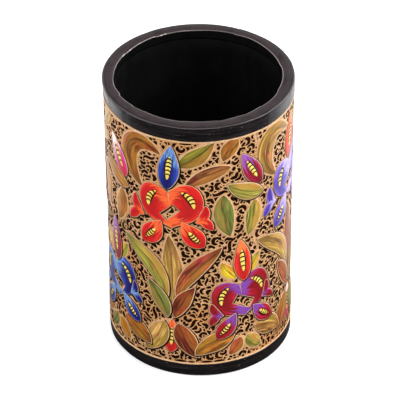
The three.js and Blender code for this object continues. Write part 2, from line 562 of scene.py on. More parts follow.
class Gap:
    """A hole in the gold: a spine, its half widths to the left and to the right, and the gold
    to keep round it."""

    def __init__(self, spine, half, keep, number):
        self.spine = spine
        self.side = left_of(unit(np.gradient(spine, axis=0)))
        self.halves = np.stack([half, -half])
        self.keep = keep
        self.number = number

    def edges(self, margin=0.0):
        """Left and right edge, moved outwards by a margin."""
        wide = self.halves + np.array([[margin], [-margin]])
        return self.spine + self.side * wide[0][:, None], self.spine + self.side * wide[1][:, None]

    def fits(self, canvas):
        """Whether the gap and the gold round it are free, and all in one sector."""
        ends = self.spine[[0, -1]]
        tips = ends + unit(ends - self.spine[[1, -2]]) * self.keep
        reach = np.vstack([*self.edges(self.keep), self.spine, tips])
        return np.ptp(sector_of(reach)) == 0 and not canvas.blocked(reach).any()

    def open(self, canvas):
        canvas.take(spots_between(*self.edges(0.05), canvas.cell), self.number)

    def grow(self, canvas):
        """Widens the gap point by point, as far as its taper and its neighbours allow."""
        limit = np.minimum(rng.uniform(*GROW_SHARE) * np.abs(self.halves) + 0.03, MAX_HALF)
        free = np.abs(self.halves) < limit
        free[:, [0, -1]] = False
        while free.any():
            wider = self.halves + np.array([[GROW_STEP], [-GROW_STEP]])
            for margin in (0.5, 1.0):
                tested = wider + np.array([[GROW_KEEP], [-GROW_KEEP]]) * margin
                points = self.spine + self.side * tested[..., None]
                free &= ~canvas.blocked(points, self.number)
            self.halves = np.where(free, wider, self.halves)
            free &= np.abs(self.halves) < limit
        self.open(canvas)


def contour_gaps(canvas, path, gaps):
    """Broken tapering gaps along a path, such as one just outside a painted shape."""
    weight = rng.uniform(0.7, 1.0)
    length = np.linalg.norm(np.diff(path, axis=0), axis=1).sum()
    path = resample(path, max(8, int(length / 0.4)))
    start = 0
    while start < len(path) - 3:
        count = rng.randint(4, 12)
        piece = path[start:start + count]
        start += count + rng.randint(0, 1)
        if len(piece) < 4:
            continue
        taper = np.sin(math.pi * np.linspace(0.06, 0.94, len(piece)))
        half = 0.1 + rng.uniform(0.2, 0.46) * weight * taper
        gap = Gap(piece, half, CONTOUR_KEEP, len(gaps) + 1)
        if gap.fits(canvas):
            gap.open(canvas)
            gaps.append(gap)


def scroll_gaps(canvas, gaps):
    """Fills the free gold with commas, crescents, hooks and dots of black."""
    for shapes, sizes, tries, keep in GAP_PASSES:
        free = canvas.free_places()
        for _ in range(tries):
            shape = rng.choice(shapes)
            size = rng.uniform(*sizes)
            angle = rng.uniform(0, 6.283)
            place = free[rng.randrange(len(free))]
            if canvas.blocked(place):
                continue
            spine, half = shape(size)
            spin = np.array([[math.cos(angle), math.sin(angle)],
                             [-math.sin(angle), math.cos(angle)]])
            gap = Gap(spine @ spin + place, half, keep, len(gaps) + 1)
            if gap.fits(canvas):
                gap.open(canvas)
                gaps.append(gap)


def seam(index, heights):
    """Arc positions of the wavy seam between two sectors of the gold sheet."""
    return FIRST_SEAM + SECTOR_ARC * index + SEAM_SWING * np.sin(np.asarray(heights) * SEAM_WAVES)


def sector_of(points):
    """Number of the sector each point is in."""
    return np.floor((points[..., 0] - seam(0, points[..., 1])) / SECTOR_ARC)


def compose():
    """All paint strokes at their heights, and both edges of each black gap in the gold."""
    canvas = Canvas()
    strokes = []
    for index in range(COLUMNS):
        strokes += upper_spray(index) + lower_spray(index)
    index = 0
    while index < len(strokes):
        group = [strokes[index]]
        while index + len(group) < len(strokes) and strokes[index + len(group)].joined:
            group.append(strokes[index + len(group)])
        canvas.lay(group)
        index += len(group)
    heights = np.arange(WALL_BOTTOM, WALL_TOP, 0.05)
    for k in range(SECTORS):
        for aside in (-SEAM_KEEP, SEAM_KEEP):
            canvas.take(np.stack([seam(k, heights) + aside, heights], axis=1), PAINTED)
    gaps = []
    around = np.linspace(0, TURN, AROUND_POINTS)
    for height in (WALL_TOP - BORDER - BORDER_GAPS, WALL_BOTTOM + BORDER + BORDER_GAPS):
        contour_gaps(canvas, np.stack([around, np.full(AROUND_POINTS, height)], axis=1), gaps)
    for stroke in strokes:
        if stroke.outlined:
            for path in stroke.grown(OUTLINE + SHAPE_GAPS):
                contour_gaps(canvas, path, gaps)
    scroll_gaps(canvas, gaps)
    for gap in gaps:
        gap.grow(canvas)
    return strokes, [gap.edges() for gap in gaps]


# ---------------------------------------------------------------- points on the wall, meshes

# How far the wall wavers, the margin that strokes keep to its ends, and the widest face across
# a stroke, in mm.
WAVER = 0.05
TRIM = 0.2
FACE_WIDTH = 0.95


def wall_radius(heights):
    """Radius of the CAD wall at the given heights."""
    return np.interp(heights, PROFILE_Z, PROFILE_R)


def pressed_in(angle, heights):
    """How far the hand-made cup is pressed in, in mm: on the left at the rim's lower edge, and
    on the front left where the foot meets the table."""
    rim = np.interp(heights, (86.0, WALL_TOP, RIM_LOW.z, RIM_HIGH.z - 1.0), (0.0, 0.4, 1.0, 0.0))
    rim = 0.5 * rim * np.exp(2.5 * (np.cos(angle + math.pi / 2) - 1))
    foot = np.interp(heights, (0.0, 0.5, 2.5), (0.8, 0.7, 0.0))
    return rim + foot * np.exp(5.0 * (np.cos(angle + 0.6) - 1))


def on_wall(points, lift):
    """Points in metres for (s, z) points on the wall, raised by lift mm."""
    angle = points[..., 0] / ARC_RADIUS
    z = points[..., 1]
    waver = WAVER * (np.sin(2 * angle + 0.6) + 0.6 * np.sin(3 * angle + z * 0.05))
    radius = wall_radius(z) + waver + lift - pressed_in(angle, z)
    return np.stack([radius * np.sin(angle), -radius * np.cos(angle), z], axis=-1) * MM


def new_object(name, data):
    item = bpy.data.objects.new(name, data)
    bpy.context.scene.collection.objects.link(item)
    return item


class Shell:
    """Collects vertices, faces and face data of one piece, and makes its object."""

    def __init__(self):
        self.points = []
        self.count = 0
        self.faces = []
        self.paints = []
        self.smooth = []
        self.across = []
        self.shape = []
        self.seeds = []

    def add_points(self, points, across=None, shape=None, seed=0.0):
        """Adds points with their place in the piece's layout, in mm and as shares: across and
        along a stroke, or the planned radius and height of a turned part."""
        points = points.reshape(-1, 3)
        blank = np.zeros((len(points), 2))
        self.points.append(points)
        self.across.append(blank if across is None else across.reshape(-1, 2))
        self.shape.append(blank if shape is None else shape.reshape(-1, 2))
        self.seeds.append(np.full(len(points), seed))
        first = self.count
        self.count += len(points)
        return first

    def add_faces(self, faces, paint, smooth):
        self.faces += faces
        self.paints += [paint] * len(faces)
        self.smooth += [smooth] * len(faces)

    def make(self, name, trim=False):
        """The piece's object, with one material slot for each paint it uses."""
        mesh = bpy.data.meshes.new(name)
        mesh.from_pydata(np.vstack(self.points).tolist(), [], self.faces)
        paints = sorted(set(self.paints))
        for paint in paints:
            mesh.materials.append(material(paint))
        slots = np.array([paints.index(p) for p in self.paints], np.int32)
        mesh.polygons.foreach_set("material_index", slots)
        mesh.polygons.foreach_set("use_smooth", np.array(self.smooth, bool))
        corners = np.zeros(len(mesh.loops), np.int32)
        mesh.loops.foreach_get("vertex_index", corners)
        for layer, rows in (("layout_mm", self.across), ("layout_share", self.shape)):
            uv = mesh.uv_layers.new(name=layer)
            uv.uv.foreach_set("vector", np.vstack(rows)[corners].astype(np.float32).ravel())
        seed = mesh.attributes.new("seed", "FLOAT", "POINT")
        seed.data.foreach_set("value", np.concatenate(self.seeds).astype(np.float32))
        if trim:
            trim_to_wall(mesh)
        mesh.validate()
        mesh.update()
        piece = new_object(name, mesh)
        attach(piece, BODY)
        return piece


def trim_to_wall(mesh):
    """Cuts off whatever passes the painted wall's two ends, and closes the cuts."""
    solid = bmesh.new()
    solid.from_mesh(mesh)
    for height, up in ((WALL_TOP - TRIM, 1), (WALL_BOTTOM + TRIM, -1)):
        everything = solid.verts[:] + solid.edges[:] + solid.faces[:]
        cut = bmesh.ops.bisect_plane(
            solid, geom=everything, dist=1e-7, plane_co=(0, 0, height * MM),
            plane_no=(0, 0, up), clear_outer=True)
        rims = [item for item in cut["geom_cut"] if isinstance(item, bmesh.types.BMEdge)]
        bmesh.ops.holes_fill(solid, edges=rims)
    solid.to_mesh(mesh)
    solid.free()


def add_plate(shell, left, right, lift, crown, paint, seed, two_ended=False):
    """A closed plate between two edges: a crowned top, a wall all round and a flat back. The
    run share of a two-ended plate goes from 0 at both ends to 1 in the middle."""
    middle = (left + right) / 2
    steps = np.linalg.norm(np.diff(middle, axis=0), axis=1)
    run = np.concatenate([[0], np.cumsum(steps)])
    widest = np.linalg.norm(left - right, axis=1).max()
    cols = max(2, int(math.ceil(widest / FACE_WIDTH)))
    rows = len(left)
    share = np.linspace(0, 1, cols + 1)
    grid = left[:, None] * (1 - share)[None, :, None] + right[:, None] * share[None, :, None]
    width = np.linalg.norm(left - right, axis=1)[:, None]
    rise = crown * (1 - (2 * share - 1) ** 2)[None, :] * np.minimum(width / widest * 1.3, 1)
    side = (share - 0.5)[None, :] * width
    across = np.stack([side, np.broadcast_to(run[:, None], side.shape)], axis=-1)
    share_run = run / run[-1]
    if two_ended:
        share_run = 1 - np.abs(2 * share_run - 1)
    ends = np.broadcast_to(share_run[:, None], side.shape)
    shape = np.stack([np.broadcast_to(share[None, :], side.shape), ends], axis=-1)
    top = shell.add_points(on_wall(grid, lift + rise), across, shape, seed)
    back = shell.add_points(on_wall(grid, ROOT_LIFT), across, shape, seed)
    stride = cols + 1
    cells = [i * stride + j for i in range(rows - 1) for j in range(cols)]
    fronts = [(top + c, top + c + 1, top + c + stride + 1, top + c + stride) for c in cells]
    backs = [(back + c, back + c + stride, back + c + stride + 1, back + c + 1) for c in cells]
    rim = [i * stride for i in range(rows)]
    rim += [(rows - 1) * stride + j for j in range(1, cols + 1)]
    rim += [i * stride + cols for i in range(rows - 2, -1, -1)]
    rim += [j for j in range(cols - 1, 0, -1)]
    walls = [(top + a, top + b, back + b, back + a) for a, b in zip(rim, rim[1:] + rim[:1])]
    shell.add_faces(fronts, paint, True)
    shell.add_faces(backs + walls, paint, False)


def add_stroke(shell, stroke):
    """A painted shape: shade, outline and face, or just the face of a spot."""
    base = stroke.base
    if stroke.outlined:
        flower = stroke.piece != "leaves"
        margin = FLOWER_OUTLINE if flower else OUTLINE
        if flower or base > GOLD_LIFT + 0.01:
            grown = stroke.grown(margin + SHADE_REACH, SHADE_SHIFT)
            add_plate(shell, *grown, base + SHADE_RISE, 0.0, "ink", stroke.seed)
        grown = stroke.grown(margin)
        add_plate(shell, *grown, base + OUTLINE_RISE, 0.0, "outline", stroke.seed)
    lift = base + stroke.rise()
    add_plate(shell, stroke.left, stroke.right, lift, stroke.crown, stroke.paint, stroke.seed,
              stroke.two_ended)


# ---------------------------------------------------------------- node materials


def srgb(code):
    """A web colour code, such as ff8000 for orange, as Blender's linear values."""
    shares = [c / 255 for c in bytes.fromhex(code)]
    linear = [c / 12.92 if c < 0.04045 else ((c + 0.055) / 1.055) ** 2.4 for c in shares]
    return (*linear, 1.0)


class Nodes:
    """Short calls for building the node tree of its owner, a material or the world."""

    def __init__(self, owner):
        self.owner = owner
        owner.use_nodes = True
        self.tree = owner.node_tree
        self.surface = self.tree.nodes.get("Principled BSDF") or self.tree.nodes["Background"]

    def add(self, kind, inputs=(), **settings):
        node = self.tree.nodes.new(kind)
        for key, value in settings.items():
            setattr(node, key, value)
        for key, value in dict(inputs).items():
            self.join(value, node.inputs[key])
        return node

    def join(self, value, socket):
        if isinstance(value, bpy.types.NodeSocket):
            self.tree.links.new(value, socket)
        else:
            socket.default_value = value

    def math(self, operation, a, b=0.0, c=0.0):
        inputs = {0: a, 1: b, 2: c}
        return self.add("ShaderNodeMath", inputs, operation=operation).outputs[0]

    def times(self, a, b):
        return self.math("MULTIPLY", a, b)

    def times_plus(self, a, b, c):
        return self.math("MULTIPLY_ADD", a, b, c)

    def apart(self, a, b):
        """How far apart two values are."""
        return self.math("ABSOLUTE", self.math("SUBTRACT", a, b))

    def noise(self, place, scale, detail=2.0, rough=0.5, warp=0.0):
        """Soft noise, with scale cycles to each unit of place."""
        inputs = {"Vector": place, "Scale": scale, "Detail": detail, "Roughness": rough,
                  "Distortion": warp}
        return self.add("ShaderNodeTexNoise", inputs).outputs["Fac"]

    def sharpen(self, value, low, high, to_low=0.0, to_high=1.0):
        """Turns a value from low to high into one from to_low to to_high, with soft ends."""
        inputs = {"Value": value, "From Min": low, "From Max": high, "To Min": to_low,
                  "To Max": to_high}
        node = self.add("ShaderNodeMapRange", inputs, interpolation_type="SMOOTHSTEP")
        return node.outputs["Result"]

    def mix(self, share, a, b, blend="MIX"):
        node = self.add("ShaderNodeMix", data_type="RGBA", blend_type=blend)
        self.join(share, node.inputs["Factor"])
        self.join(a, node.inputs["A"])
        self.join(b, node.inputs["B"])
        return node.outputs["Result"]

    def over(self, colour, tone, value, low, high, most=1.0, blend="MIX"):
        """A colour with a tone over it, where value is high: none at low, most of it at high."""
        return self.mix(self.sharpen(value, low, high, 0.0, most), colour, tone, blend)

    def place(self):
        return self.add("ShaderNodeTexCoord").outputs["Object"]

    def stretch(self, vector, scale):
        inputs = {"Vector": vector, "Scale": scale}
        return self.add("ShaderNodeMapping", inputs).outputs["Vector"]

    def split(self, vector):
        return self.add("ShaderNodeSeparateXYZ", {0: vector}).outputs

    def bundle(self, x, y, z):
        return self.add("ShaderNodeCombineXYZ", {0: x, 1: y, 2: z}).outputs[0]

    def finish(self, colour, rough, height, depth, coat=0.0, gleam=0.5):
        """Joins the look to the surface, with a relief of depth metres. Gleam is how much the
        paint itself mirrors, and coat the weight of the clear lacquer on it."""
        bump = self.add("ShaderNodeBump", {"Height": height, "Distance": depth, "Strength": 1.0})
        looks = {"Base Color": colour, "Roughness": rough, "Normal": bump.outputs["Normal"],
                 "Specular IOR Level": gleam, "Coat Weight": coat, "Coat Roughness": 0.2,
                 "Coat IOR": 1.48}
        for key, value in looks.items():
            self.join(value, self.surface.inputs[key])
        return self.owner


PAINT_GLEAM = 0.22


def stroke_lines(nodes):
    """Sockets of a paint stroke: shares across and along it, its seed, and a function for noise
    in long streaks with fine cycles a mm across the stroke and slow cycles a mm along it."""
    across, along = nodes.split(nodes.add("ShaderNodeUVMap", uv_map="layout_mm").outputs[0])[:2]
    share = nodes.split(nodes.add("ShaderNodeUVMap", uv_map="layout_share").outputs[0])
    seed = nodes.add("ShaderNodeAttribute", attribute_name="seed").outputs["Fac"]

    def brush(shift, fine, slow, warp=0.3):
        x = nodes.times(across, fine)
        y = nodes.times(along, slow)
        z = nodes.times(nodes.math("ADD", seed, shift), 97.0)
        return nodes.noise(nodes.bundle(x, y, z), 1.0, 3.0, 0.55, warp)

    return share[0], share[1], seed, brush


def leaf_paint(nodes, deep, middle, light, accent):
    """Leaf: broad soft streaks from deep to light, one side in the accent colour, a tinge of
    another paint that was left on the brush, a soft rib and dark ends."""
    u, v, seed, brush = stroke_lines(nodes)
    broad = brush(0.0, 0.5, 0.07)
    fine = brush(3.1, 1.7, 0.09)
    colour = nodes.over(deep, middle, broad, 0.36, 0.54)
    flip = nodes.math("GREATER_THAN", nodes.math("FRACT", nodes.times(seed, 7.0)), 0.5)
    side = nodes.apart(u, flip)
    patch = brush(7.7, 0.4, 0.12)
    reach = nodes.times_plus(patch, 1.1, side)
    colour = nodes.over(colour, accent, reach, 0.96, 1.24, 0.85)
    colour = nodes.over(colour, light, fine, 0.5, 0.66, 0.85)
    tinge = brush(17.0, 0.36, 0.2)
    other = nodes.add("ShaderNodeHueSaturation", {"Hue": 0.46, "Value": 1.05, "Color": colour})
    colour = nodes.mix(nodes.sharpen(tinge, 0.5, 0.66, 0.0, 0.7), colour, other.outputs["Color"])
    rib = nodes.apart(nodes.times_plus(broad, 0.5, u), 0.78)
    colour = nodes.mix(nodes.sharpen(rib, 0.0, 0.09, 0.6, 0.0), colour, deep, "MULTIPLY")
    end = nodes.apart(v, 0.42)
    end = nodes.sharpen(nodes.times_plus(fine, 0.5, end), 0.52, 0.84, 0.0, 0.85)
    colour = nodes.mix(end, colour, deep)
    scratch = brush(11.0, 4.2, 0.2)
    colour = nodes.over(colour, deep, scratch, 0.5, 0.66, 0.3, "MULTIPLY")
    rough = nodes.sharpen(fine, 0.3, 0.7, 0.34, 0.5)
    relief = nodes.times_plus(scratch, 0.6, fine)
    return nodes.finish(colour, rough, relief, 0.00003, 0.3, PAINT_GLEAM)


def petal_paint(nodes, deep, middle, light, accent):
    """Petal: a dark heart, lighter colours combed inwards from its edges and its start, and a
    dark end."""
    u, v, _, brush = stroke_lines(nodes)
    comb = brush(0.0, 2.3, 0.1, 0.15)
    broad = brush(5.0, 0.6, 0.1)
    from_rib = nodes.apart(u, 0.5)
    edge = nodes.times_plus(comb, 0.5, from_rib)
    colour = nodes.over(deep, middle, edge, 0.38, 0.6)
    colour = nodes.over(colour, accent, edge, 0.62, 0.76, 0.9)
    start = nodes.math("SUBTRACT", 1.0, v)
    reach = nodes.times_plus(comb, 1.3, start)
    colour = nodes.over(colour, light, reach, 1.2, 1.42)
    end = nodes.times_plus(comb, 1.1, v)
    colour = nodes.over(colour, deep, end, 1.28, 1.5, 0.8)
    colour = nodes.over(colour, deep, broad, 0.55, 0.68, 0.6)
    scratch = brush(9.0, 3.6, 0.12, 0.1)
    colour = nodes.over(colour, deep, scratch, 0.52, 0.64, 0.7)
    rough = nodes.sharpen(comb, 0.3, 0.7, 0.3, 0.45)
    return nodes.finish(colour, rough, comb, 0.00004, 0.3, PAINT_GLEAM)


def plain_paint(nodes, deep, middle, light):
    """Spots, outlines and ink: one colour with small changes of thickness."""
    place = nodes.place()
    cloud = nodes.noise(place, 900.0, 2.0)
    grain = nodes.noise(place, 5200.0, 2.0)
    colour = nodes.over(deep, middle, cloud, 0.35, 0.65)
    colour = nodes.over(colour, light, grain, 0.5, 0.75, 0.6)
    rough = nodes.sharpen(cloud, 0.3, 0.7, 0.3, 0.46)
    return nodes.finish(colour, rough, grain, 0.00001, 0.3, PAINT_GLEAM)


def gap_paint(nodes, deep, middle, light):
    """The dark brown under the gold ground, dull where the clear lacquer sinks into it."""
    place = nodes.place()
    cloud = nodes.noise(place, 700.0, 2.0)
    grain = nodes.noise(place, 4200.0, 2.0)
    colour = nodes.over(deep, middle, cloud, 0.35, 0.65)
    colour = nodes.over(colour, light, grain, 0.52, 0.72, 0.6)
    return nodes.finish(colour, nodes.sharpen(cloud, 0.3, 0.7, 0.5, 0.7), grain, 0.00002, 0.0, 0.03)


def gold_paint(nodes, deep, middle, light, accent):
    """Gold ground: tan bronze paint, warmer in patches, with a fine metallic grain."""
    place = nodes.place()
    patch = nodes.noise(place, 60.0, 2.0, 0.5, 0.4)
    cloud = nodes.noise(place, 420.0, 3.0)
    grain = nodes.noise(place, 6500.0, 2.0)
    colour = nodes.over(deep, middle, cloud, 0.36, 0.64)
    colour = nodes.over(colour, accent, patch, 0.5, 0.68, 0.7)
    colour = nodes.over(colour, light, grain, 0.52, 0.72, 0.6)
    rough = nodes.sharpen(cloud, 0.3, 0.7, 0.36, 0.5)
    nodes.surface.inputs["Metallic"].default_value = 0.15
    return nodes.finish(colour, rough, grain, 0.000015, 0.3, PAINT_GLEAM)


def brushed_black(nodes, deep, middle, light, accent):
    """Colour, roughness and relief of hand-brushed black lacquer: faint brown, violet and blue
    in the black, strokes that run round the cup, pits, and dull spots."""
    place = nodes.place()
    x, y, z = nodes.split(place)[:3]
    angle = nodes.math("ARCTAN2", y, x)
    reach = nodes.math("SQRT", nodes.math("ADD", nodes.times(x, x), nodes.times(y, y)))
    ring = nodes.bundle(nodes.times(angle, 2.2), nodes.times(z, 1500.0), nodes.times(reach, 1300.0))
    strokes = nodes.noise(ring, 1.0, 4.0, 0.6, 0.6)
    pits = nodes.noise(place, 1500.0, 1.0)
    colour = nodes.over(deep, middle, nodes.noise(place, 130.0, 3.0), 0.38, 0.62)
    colour = nodes.over(colour, accent, nodes.noise(place, 70.0, 2.0), 0.5, 0.7, 0.6)
    colour = nodes.over(colour, light, strokes, 0.46, 0.66, 0.85)
    colour = nodes.over(colour, PIT, pits, 0.72, 0.78, 0.7)
    rough = nodes.sharpen(strokes, 0.3, 0.7, 0.26, 0.42)
    relief = nodes.times_plus(nodes.sharpen(pits, 0.66, 0.8), -0.6, strokes)
    return colour, rough, relief


def black_lacquer(nodes, deep, middle, light, accent):
    """The foot band's lacquer."""
    colour, rough, relief = brushed_black(nodes, deep, middle, light, accent)
    return nodes.finish(colour, rough, relief, 0.00006, 0.3)


def lip_lacquer(nodes, deep, middle, light, accent):
    """The lip's lacquer: a dull violet brown on top, partly rubbed wear in patches and partly a
    painted lighter top where the surface faces up, a painted shade line in the crease near the
    outside, painted highlight lines along the outer edge and the edge of the mouth, and chipped
    there at the back left."""
    colour, rough, relief = brushed_black(nodes, deep, middle, light, accent)
    place = nodes.place()
    radius = nodes.split(nodes.add("ShaderNodeUVMap", uv_map="layout_mm").outputs[0])[0]
    facing = nodes.split(nodes.add("ShaderNodeNewGeometry").outputs["Normal"])[2]
    scuff = nodes.noise(place, 260.0, 4.0, 0.65, 0.4)
    places = nodes.noise(place, 55.0, 1.0)

    def line(at, wander, inner, outer, strength):
        """A line round the lip, at a planned radius that wanders by a share of the noise."""
        away = nodes.times_plus(places, -wander, nodes.math("SUBTRACT", radius, at))
        away = nodes.times_plus(scuff, 0.2, nodes.math("ABSOLUTE", away))
        return nodes.sharpen(away, inner + 0.1, outer + 0.1, strength, 0.0)

    on_top = nodes.sharpen(facing, 0.55, 0.95)
    # Painted light and wear: all that faces up is lightened to a violet brown, as if lit from above,
    # and more so in rubbed patches.
    worn = nodes.times(on_top, nodes.sharpen(scuff, 0.3, 0.62, 0.35, 1.0))
    colour = nodes.mix(worn, colour, RUBBED_AND_LIT_TOP)
    rough = nodes.times_plus(worn, 0.14, rough)
    # Painted shade: a dark line along the crease near the outer edge of the top.
    crease = nodes.times(line(RIM_HIGH.x - 1.5, 1.1, 0.06, 0.24, 0.8), on_top)
    colour = nodes.mix(crease, colour, CREASE_SHADE_BLACK)
    # Painted highlight: a light line along the outer edge of the top.
    outer = nodes.times(line(RIM_HIGH.x - 0.5, 0.5, 0.03, 0.16, 0.45), on_top)
    colour = nodes.mix(outer, colour, EDGE_HIGHLIGHT)
    # Painted highlight: a light line along the edge of the mouth, stronger in patches.
    mouth = line(LINING_HIGH.x - 0.46, 0.0, 0.16, 0.34, 1.0)
    mouth_highlight_patches = nodes.sharpen(places, 0.36, 0.6, 0.45, 1.0)
    colour = nodes.mix(nodes.times(mouth, mouth_highlight_patches), colour, EDGE_HIGHLIGHT)
    chips = nodes.sharpen(nodes.noise(place, 420.0, 2.0), 0.56, 0.62)
    left_back = nodes.math("SUBTRACT", nodes.split(place)[1], nodes.split(place)[0])
    chips = nodes.times(chips, nodes.sharpen(left_back, 0.03, 0.036))
    colour = nodes.mix(nodes.times(chips, mouth), colour, CHIPPED)
    return nodes.finish(colour, rough, relief, 0.00009, 0.22)


def well_black(nodes, deep, middle):
    """The well's flat black, brushed on over rough paper."""
    place = nodes.place()
    weave = nodes.noise(nodes.stretch(place, (1, 1, 0.4)), 300.0, 4.0, 0.6)
    colour = nodes.over(deep, middle, weave, 0.35, 0.7)
    rough = nodes.sharpen(weave, 0.3, 0.7, 0.6, 0.8)
    return nodes.finish(colour, rough, weave, 0.00012, 0.0, 0.03)


def pasted_paper(nodes, deep, middle, light):
    """Layers of pasted paper, seen only where the lacquer is worn."""
    place = nodes.place()
    layers = nodes.noise(nodes.stretch(place, (1, 1, 6)), 260.0, 4.0, 0.6)
    fibre = nodes.noise(place, 2600.0, 3.0, 0.7)
    colour = nodes.over(deep, middle, layers, 0.35, 0.65)
    colour = nodes.over(colour, light, fibre, 0.5, 0.75, 0.6)
    return nodes.finish(colour, 0.9, fibre, 0.00005)


# Painted shade for the crease of the lip.
CREASE_SHADE_BLACK = srgb("090708")
PIT = srgb("787070")
# Lighter top of the lip: partly painted light, partly rubbed wear.
RUBBED_AND_LIT_TOP = srgb("302326")
# Painted highlight on the edges of the lip.
EDGE_HIGHLIGHT = srgb("847a7a")
CHIPPED = srgb("c4bab2")

# The paints by the way they are laid on. Each has a deep and a middle colour, most have a light
# one, and leaves, petals, gold and lacquer also have an accent.
PAINTS = {
    leaf_paint: {
        "moss": "464c1a 6e752f 919543 8e772f",
        "olive": "494210 7c751e a4972e 9e6d1e",
        "sage": "5b5d1f 928e32 c1b448 b48735",
        "lime": "5a6015 919021 c9b32b d6a219",
        "umber": "552c12 925524 c17d3a a06926",
        "rust": "4f1d09 883913 af591c 935314",
        "brick": "672b10 a24d1e c66e2c 8e631c",
        "ochre": "67390d a36617 cb8b24 8a5a16",
        "mustard": "75450e b67418 e09d28 996f18",
        "wheat": "745321 b48a3f e0bb64 9d7e2d",
        "tan": "6d481c ad7e38 daad56 916d28",
        "yellow": "986608 d1af10 eae02c c47c10",
    },
    petal_paint: {
        "red": "b20305 d2110c f2642a e43818",
        "scarlet": "ad0b0c d92716 ee7134 ea5124",
        "salmon": "cc423c e67262 f8b8a2 f09682",
        "crimson": "7e020e a8061c 7640a2 981c4e",
        "plum": "76051c a0102e 9456b4 842056",
        "magenta": "bc1034 d02c8a fdeee6 eebad4",
        "blue": "0e1360 1a329a 6a94ce 4268c0",
        "azure": "1a3e96 3268c4 96c6e8 6ea4e0",
        "violet": "422c90 6654ba b4a4e4 8e76d4",
    },
    plain_paint: {
        "yolk": "deb83e f2d660 fceea6",
        "ink": "0a0503 140a06 22130b",
        "outline": "c79c71 dbb48a edcdaa",
    },
    gap_paint: {
        "gap": "140603 260e05 3e1d0b",
    },
    gold_paint: {
        "gold": "be8d5c d2a06f e9c396 c8864a",
    },
    black_lacquer: {
        "lacquer": "0c0809 110c0d 261e21 1c1214",
    },
    lip_lacquer: {
        "lip": "0c0809 110c0d 2a2124 221618",
    },
    well_black: {
        "well": "0d0d0d 111111",
    },
    pasted_paper: {
        "paper": "84745e a09078 beb096",
    },
}


def material(name):
    """The material of a paint, made when it is first asked for."""
    if name in bpy.data.materials:
        return bpy.data.materials[name]
    lay_on = next(way for way, colours in PAINTS.items() if name in colours)
    colours = [srgb(code) for code in PAINTS[lay_on][name].split()]
    return lay_on(Nodes(bpy.data.materials.new(name)), *colours)


# ---------------------------------------------------------------- gold ground sheets

FILL_STEP = 1.4
BACK_STEP = 4.0


def triangulate(outline, loops, step):
    """Triangles of an outline with loops in it and loose points that are step apart. For each
    triangle, the loops that it belongs to, where loop 0 is the outline."""
    low, high = outline.min(axis=0), outline.max(axis=0)
    loose = [(s, z) for z in np.arange(low[1] + step / 2, high[1] - 0.3, step)
             for s in np.arange(low[0], high[0], step)]
    points = []
    rings = []
    for loop in [outline] + loops:
        rings.append(list(range(len(points), len(points) + len(loop))))
        points += [tuple(p) for p in loop]
    points += loose
    verts, _, faces, _, _, owners = delaunay_2d_cdt(
        [Vector(p) for p in points], [], rings, 0, 1e-5, True)
    kept = [(list(f), set(o)) for f, o in zip(faces, owners) if 0 in o]
    return np.array([(v.x, v.y) for v in verts]), kept


def sector_outline(index):
    """Outline of one sheet of gold ground, anticlockwise as seen from outside."""
    heights = np.arange(WALL_BOTTOM, WALL_TOP, 1.0)
    heights = np.append(heights, WALL_TOP)
    left = np.stack([seam(index, heights), heights], axis=1)
    right = np.stack([seam(index + 1, heights), heights], axis=1)
    share = np.linspace(0, 1, 25)[1:-1, None]
    bottom = left[0] * (1 - share) + right[0] * share
    top = right[-1] * (1 - share) + left[-1] * share
    return np.vstack([left[:1], bottom, right, top, left[:0:-1]])


def gap_loops(index, gaps):
    """Loops of the gaps in one sector, anticlockwise."""
    loops = []
    for left, right in gaps:
        loop = np.vstack([right, left[::-1]])
        centre = loop.mean(axis=0)
        start = float(seam(index, centre[1]))
        turns = math.floor((centre[0] - start) / TURN)
        loop = loop - np.array([turns * TURN, 0])
        past_start = loop[:, 0] > seam(index, loop[:, 1]) + SEAM_KEEP
        before_end = loop[:, 0] < seam(index + 1, loop[:, 1]) - SEAM_KEEP
        if past_start.all() and before_end.all():
            loops.append(loop)
    return loops


def ground_panel(index, gaps):
    """One sheet of the ground: gold on top, with gaps that go down to the black under it."""
    shell = Shell()
    outline = sector_outline(index)
    flat, faces = triangulate(outline, gap_loops(index, gaps), FILL_STEP)
    top = shell.add_points(on_wall(flat, GOLD_LIFT))
    low = shell.add_points(on_wall(flat, BLACK_LIFT))
    gold = [f for f, owners in faces if len(owners) == 1]
    black = [f for f, owners in faces if len(owners) > 1]
    shell.add_faces([[top + v for v in f] for f in gold], "gold", True)
    shell.add_faces([[low + v for v in f] for f in black], "gap", True)
    edges = {(a, b) for f in gold for a, b in zip(f, f[1:] + f[:1])}
    black_edges = {(a, b) for f in black for a, b in zip(f, f[1:] + f[:1])}
    walls = [(a, b) for a, b in edges if (b, a) in black_edges]
    shell.add_faces([(top + a, low + a, low + b, top + b) for a, b in walls], "gap", False)
    skirt = [(a, b) for a, b in edges if (b, a) not in edges and (b, a) not in black_edges]
    deep = shell.add_points(on_wall(flat, BACK_LIFT))
    shell.add_faces([(top + a, deep + a, deep + b, top + b) for a, b in skirt], "ink", False)
    border = {a: b for a, b in skirt}
    first = min(border)
    ring = [first]
    while border[ring[-1]] != first:
        ring.append(border[ring[-1]])
    back, back_faces = triangulate(flat[ring], [], BACK_STEP)
    inner = shell.add_points(on_wall(back, BACK_LIFT))
    ends = {tuple(np.round(p, 4)): deep + v for v, p in zip(ring, flat[ring])}
    own = [ends.get(tuple(np.round(p, 4)), inner + k) for k, p in enumerate(back)]
    shell.add_faces([[own[v] for v in f[::-1]] for f, _ in back_faces], "paper", True)
    return shell.make(f"gold_ground_{index + 1}")


# ---------------------------------------------------------------- turned parts

TURNED_STEPS = 256

# Thicknesses and depths of the turned parts, in mm.
LINING = 0.5
RIM_LEG = 0.9
RIM_CAP = 1.1
LIP_DEPTH = 3.5
FOOT_THICKNESS = 1.2


